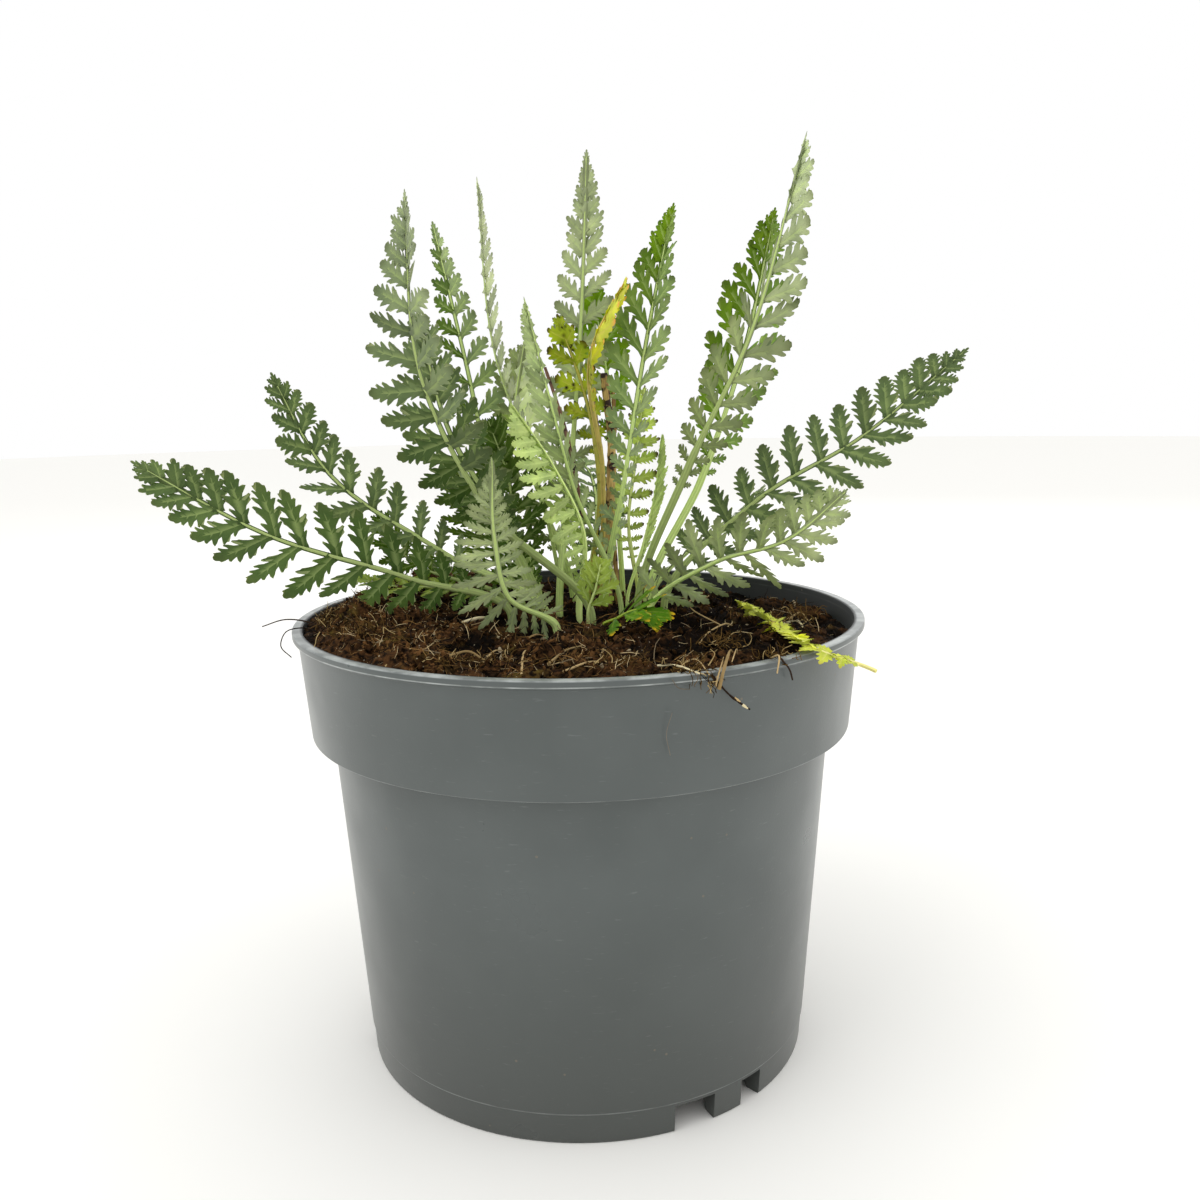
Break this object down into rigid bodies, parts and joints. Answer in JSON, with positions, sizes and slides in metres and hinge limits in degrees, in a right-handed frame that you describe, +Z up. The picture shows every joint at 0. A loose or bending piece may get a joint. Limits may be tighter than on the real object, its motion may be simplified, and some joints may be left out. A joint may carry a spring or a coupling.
{
  "type": "potted perennial plant",
  "caption": "Young clump of finely divided, fern-like grey-green leaves on slender stalks, in a round tapered nursery pot filled with dark peaty soil.",
  "frame": {"origin": "middle of the pot's underside, at the level it stands on", "axes": "+Z up along the pot's axis, +Y towards the back of the plant, +X to its right seen from the front"},
  "size_m": [0.2512, 0.1911, 0.2751],
  "materials": {
    "pot_plastic": "satin",
    "leaf_green": "matte",
    "leaf_olive": "matte",
    "leaf_grey": "matte",
    "leaf_yellow": "matte",
    "leaf_young": "satin",
    "dead_stem": "matte",
    "withered_leaf": "matte",
    "soil": "matte"
  },
  "bodies": {
    "root": {"pot": "pot_plastic", "leaf_left_low": "leaf_green", "leaf_left_mid": "leaf_green", "leaf_left_inner": "leaf_olive", "leaf_left_olive": "leaf_olive", "leaf_front_left_tall": "leaf_green", "leaf_left_second": "leaf_green", "leaf_back_left_tall": "leaf_green", "leaf_thin_grey": "leaf_grey", "leaf_folded_grey": "leaf_grey", "leaf_broad_grey": "leaf_grey", "leaf_centre_tall": "leaf_grey", "leaf_spotted": "leaf_yellow", "leaf_yellow_bent": "leaf_yellow", "leaf_olive_back": "leaf_olive", "leaf_centre_right": "leaf_green", "leaf_right_tall": "leaf_green", "leaf_right_second": "leaf_green", "leaf_right_low": "leaf_green", "leaf_right_front": "leaf_grey", "leaf_rolled": "leaf_young", "leaf_front_young": "leaf_young", "leaf_front_grey": "leaf_grey", "leaf_browning": "leaf_olive", "leaf_dark_inner": "leaf_green", "leaf_soil_left": "leaf_young", "leaf_front_small": "leaf_young", "leaf_front_yellowing": "leaf_yellow", "leaf_back_left_low": "leaf_green", "leaf_back_low": "leaf_green", "leaf_back_right_low": "leaf_green", "rootstock_and_old_stems": "dead_stem", "dry_twig": "dead_stem", "leaf_withered": "withered_leaf", "soil": "soil"}
  },
  "joints": []
}
